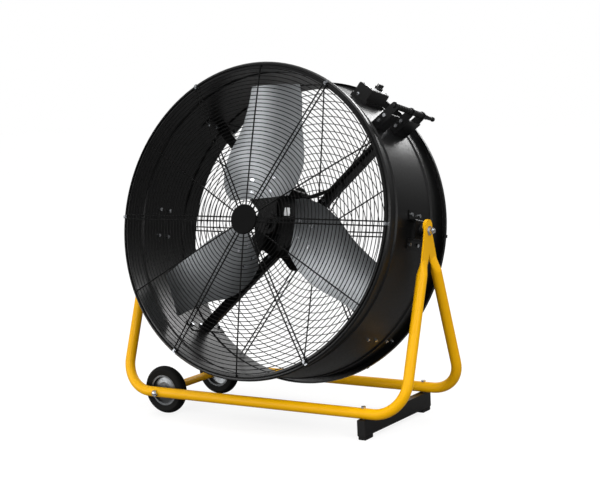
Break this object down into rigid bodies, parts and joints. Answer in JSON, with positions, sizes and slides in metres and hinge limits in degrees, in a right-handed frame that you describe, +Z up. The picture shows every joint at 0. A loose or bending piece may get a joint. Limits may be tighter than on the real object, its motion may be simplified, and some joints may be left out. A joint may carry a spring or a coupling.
{
  "type": "drum fan",
  "caption": "Wheeled industrial drum fan: a wire-guarded steel drum with a wide-bladed propeller tilts between the tops of a bent tube stand.",
  "frame": {"origin": "on the floor, under the middle of the tilt axis", "axes": "+X to the fan's right seen from the front (the foot beam's side), +Y from front to back, +Z up"},
  "size_m": [1.0622, 0.5722, 1.0968],
  "materials": {
    "yellow_paint": "gloss powder coat",
    "black_powder_coat": "semi-gloss powder coat",
    "grille_wire_coat": "satin dipped coat",
    "black_motor_paint": "satin",
    "bright_zinc": "bright zinc plate",
    "wheel_zinc": "zinc plate",
    "black_plastic": "moulded, fine grain",
    "black_rubber": "matt",
    "tyre_rubber": "matt",
    "blade_aluminium": "satin mill finish"
  },
  "bodies": {
    "frame": {"front_frame_tube": "yellow_paint", "rear_frame_tube": "yellow_paint", "axle_cross_tube": "yellow_paint", "wheel_axle": "bright_zinc", "axle_nuts": "bright_zinc", "foot_beam": "black_powder_coat", "foot_beam_end_caps": "black_plastic", "rubber_feet": "black_rubber", "foot_beam_bolts": "bright_zinc", "pivot_bolts": "bright_zinc", "pivot_spacers": "black_plastic", "pivot_washers": "bright_zinc", "pivot_nuts": "bright_zinc"},
    "front_wheel": {"front_tyre": "tyre_rubber", "front_wheel_rim": "wheel_zinc", "front_wheel_hub": "wheel_zinc"},
    "rear_wheel": {"rear_tyre": "tyre_rubber", "rear_wheel_rim": "wheel_zinc", "rear_wheel_hub": "wheel_zinc"},
    "drum": {"drum_shell": "black_powder_coat", "right_trunnion_bracket": "black_powder_coat", "left_trunnion_bracket": "black_powder_coat", "trunnion_bolts": "bright_zinc", "front_grille": "grille_wire_coat", "rear_grille": "grille_wire_coat", "grille_badge": "black_plastic", "front_grille_clips": "bright_zinc", "rear_grille_clips": "black_powder_coat", "upper_right_motor_strut": "black_powder_coat", "upper_left_motor_strut": "black_powder_coat", "lower_left_motor_strut": "black_powder_coat", "lower_right_motor_strut": "black_powder_coat", "strut_foot_bolts": "bright_zinc", "motor_mount_plate": "black_powder_coat", "strut_plate_bolts": "bright_zinc", "motor_housing": "black_motor_paint", "motor_front_cover": "black_motor_paint", "motor_rear_cover": "black_motor_paint", "motor_bearings": "bright_zinc", "terminal_box": "black_motor_paint", "motor_cable": "black_rubber", "control_box_base": "black_plastic", "control_box_cover": "black_plastic", "rotary_switch": "black_plastic", "cable_gland": "black_plastic", "front_handle_bracket": "black_powder_coat", "rear_handle_bracket": "black_powder_coat", "handle_feet": "black_powder_coat", "handle_bolts": "bright_zinc", "handle_bar": "black_powder_coat", "handle_grip": "black_rubber"},
    "propeller": {"propeller_hub": "blade_aluminium", "blade_1": "blade_aluminium", "blade_2": "blade_aluminium", "blade_3": "blade_aluminium", "blade_rivets": "bright_zinc", "motor_shaft": "bright_zinc", "hub_nut": "bright_zinc"},
    "knob": {"switch_knob": "black_plastic", "switch_spindle": "bright_zinc"}
  },
  "joints": [
    {"name": "drum_tilt", "type": "hinge", "parent": "frame", "child": "drum", "pos_m": [0, 0, 0.59], "axis": [1, 0, 0], "range_deg": [-77, 103]},
    {"name": "propeller_spin", "type": "hinge", "parent": "drum", "child": "propeller", "pos_m": [0, -0.05749, 0.60327], "axis": [0, -0.9744, 0.225], "continuous": true},
    {"name": "front_wheel_spin", "type": "hinge", "parent": "frame", "child": "front_wheel", "pos_m": [-0.375, -0.144, 0.076], "axis": [0, 1, 0], "continuous": true},
    {"name": "rear_wheel_spin", "type": "hinge", "parent": "frame", "child": "rear_wheel", "pos_m": [-0.375, 0.144, 0.076], "axis": [0, 1, 0], "continuous": true},
    {"name": "switch_knob_turn", "type": "hinge", "parent": "drum", "child": "knob", "pos_m": [0.27627, 0.1471, 0.996], "axis": [0.5417, 0.1891, 0.819], "range_deg": [0, 90]}
  ]
}
